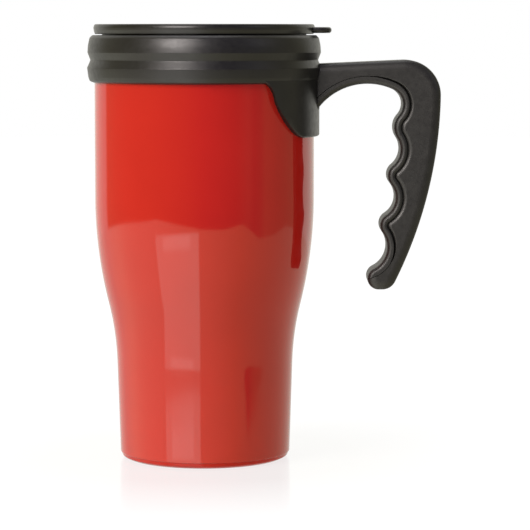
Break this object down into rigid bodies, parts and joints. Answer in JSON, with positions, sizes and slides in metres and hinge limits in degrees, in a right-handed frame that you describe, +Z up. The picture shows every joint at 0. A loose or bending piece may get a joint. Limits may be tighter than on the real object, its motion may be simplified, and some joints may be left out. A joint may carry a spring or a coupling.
{
  "type": "insulated travel mug",
  "caption": "Flared insulated travel mug in red with a black ridged collar, an open finger-grip handle and a press-in lid with a rotating drinking closure.",
  "frame": {"origin": "centre of the ring foot that the mug stands on", "axes": "+Z up along the mug's axis, +X towards the handle, +Y across it"},
  "size_m": [0.1395, 0.0926, 0.1723],
  "materials": {
    "red_shell": "high gloss moulded red",
    "steel": "spun satin stainless steel",
    "foam": "closed-cell foam",
    "seal_rubber": "soft grey silicone",
    "black_plastic": "satin black with fine moulded grain",
    "black_grip": "soft satin black grip",
    "screw_steel": "plated steel",
    "washer_plastic": "smooth white plastic"
  },
  "bodies": {
    "mug": {"outer_shell": "red_shell", "base_cap": "red_shell", "inner_liner": "steel", "insulation_foam": "foam", "liner_seal": "seal_rubber", "rim_collar": "black_plastic", "handle_shell": "black_plastic", "grip_inlay": "black_grip", "handle_screws": "screw_steel"},
    "lid": {"lid_plug": "black_plastic", "lid_gasket": "seal_rubber", "sip_seal": "seal_rubber", "vent_o_ring": "seal_rubber", "pivot_o_ring": "seal_rubber"},
    "closure": {"closure_disc": "black_plastic", "pivot_washer": "washer_plastic", "pivot_screw": "screw_steel"}
  },
  "joints": [
    {"name": "lid_lift", "type": "slide", "parent": "mug", "child": "lid", "axis": [0, 0, 1], "range_m": [0, 0.08]},
    {"name": "closure_turn", "type": "hinge", "parent": "lid", "child": "closure", "pos_m": [0, 0, 0.1684], "axis": [0, 0, 1], "range_deg": [0, 45]}
  ]
}
